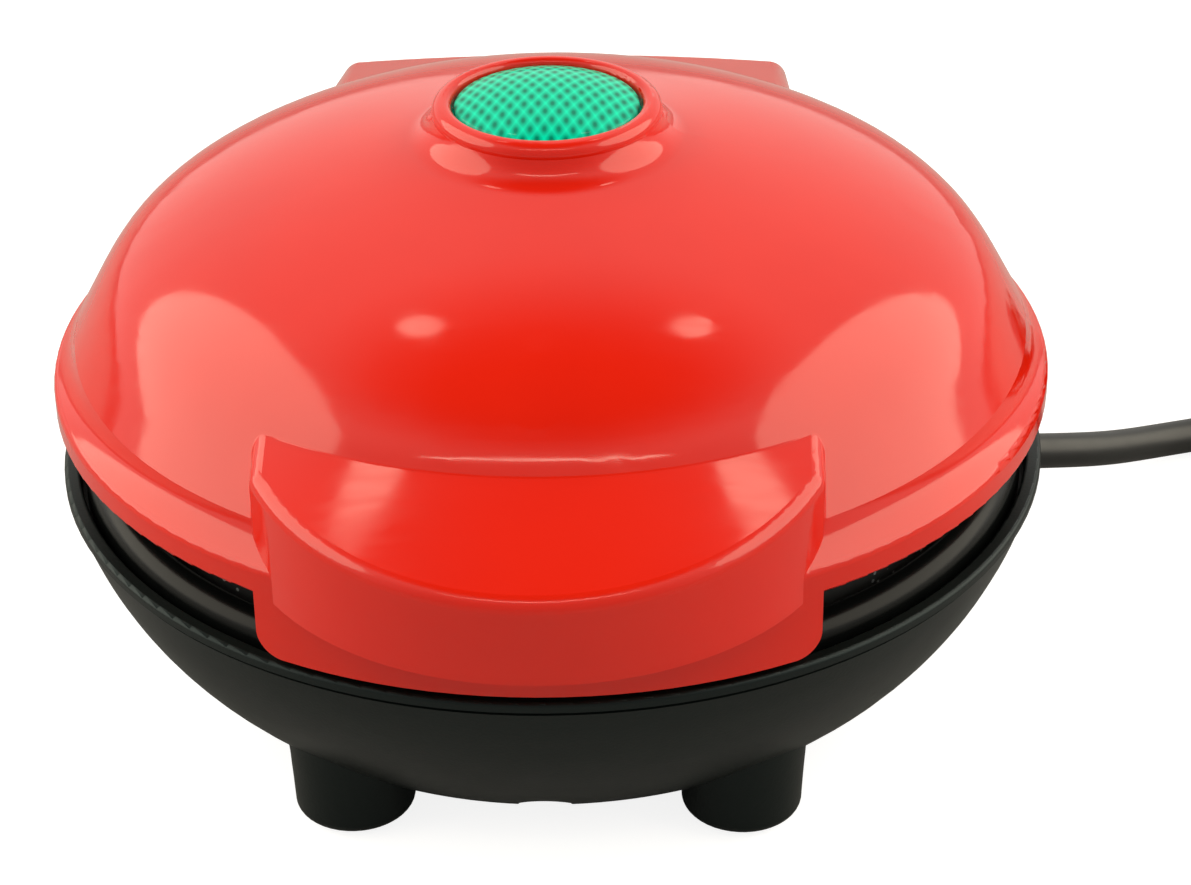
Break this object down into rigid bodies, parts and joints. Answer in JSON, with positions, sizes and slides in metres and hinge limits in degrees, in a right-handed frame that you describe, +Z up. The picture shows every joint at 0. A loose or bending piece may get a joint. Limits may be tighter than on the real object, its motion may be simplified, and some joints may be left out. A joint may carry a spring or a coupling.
{
  "type": "donut maker",
  "caption": "Round hinged table-top maker with a domed lid, front handle, indicator lens and moulded plates that bake small ring doughnuts.",
  "frame": {"origin": "centre of the round body on the surface that the feet stand on", "axes": "+Z up, -Y towards the handle, +Y towards the hinge, +X to the right as seen from the handle"},
  "size_m": [0.2739, 0.2075, 0.093],
  "materials": {
    "lid_red_gloss": "high-gloss moulded red",
    "base_black_satin": "satin moulded black",
    "ring_black": "fine matte black",
    "nonstick_plate": "matte speckled black non-stick coating",
    "foot_rubber": "matte",
    "zinc_steel": "bright zinc",
    "heater_sheath": "heat-tinted satin",
    "sheet_aluminium": "mill finish",
    "thermostat_ceramic": "unglazed cream",
    "fuse_brass": "dull",
    "terminal_nylon": "natural nylon",
    "lead_sleeve": "braided glass-fibre sleeve",
    "lead_silicone": "silicone insulation",
    "lens_green": "translucent green, polished",
    "lamp_glass": "clear",
    "lamp_nylon": "natural nylon",
    "cord_vinyl": "satin black vinyl",
    "plug_vinyl": "satin black vinyl",
    "blade_brass": "nickel-plated",
    "tie_strap": "woven hook-and-loop strap, black"
  },
  "bodies": {
    "base": {"base_housing": "base_black_satin", "foot_pad_front_left": "foot_rubber", "foot_pad_rear_left": "foot_rubber", "foot_pad_front_right": "foot_rubber", "foot_pad_rear_right": "foot_rubber", "hinge_pin_left": "zinc_steel", "hinge_pin_right": "zinc_steel", "base_bezel_ring": "ring_black", "lower_cook_plate": "nonstick_plate", "lower_heating_element": "heater_sheath", "lower_heat_shield": "sheet_aluminium", "lower_plate_screws": "zinc_steel", "thermostat": "thermostat_ceramic", "thermostat_bracket": "sheet_aluminium", "thermal_fuse": "fuse_brass", "terminal_block": "terminal_nylon", "terminal_screws": "zinc_steel", "base_leads": "lead_silicone", "base_lead_sleeve": "lead_sleeve", "strain_relief": "cord_vinyl", "power_cord": "cord_vinyl", "cord_coil": "cord_vinyl", "cord_tail": "cord_vinyl", "cord_tie": "tie_strap", "plug_body": "plug_vinyl", "plug_blades": "blade_brass"},
    "lid": {"lid_shell": "lid_red_gloss", "handle_cover": "lid_red_gloss", "handle_cover_screws": "zinc_steel", "lid_bezel_ring": "ring_black", "upper_cook_plate": "nonstick_plate", "upper_heating_element": "heater_sheath", "upper_heat_shield": "sheet_aluminium", "upper_plate_screws": "zinc_steel", "indicator_lens": "lens_green", "lens_retainer": "ring_black", "indicator_lamp": "lamp_glass", "lamp_holder": "lamp_nylon", "lid_leads": "lead_silicone", "lid_lead_sleeve": "lead_sleeve"}
  },
  "joints": [
    {"name": "lid_hinge", "type": "hinge", "parent": "base", "child": "lid", "pos_m": [0, 0.0732, 0.044], "axis": [-1, 0, 0], "range_deg": [0, 100]}
  ]
}
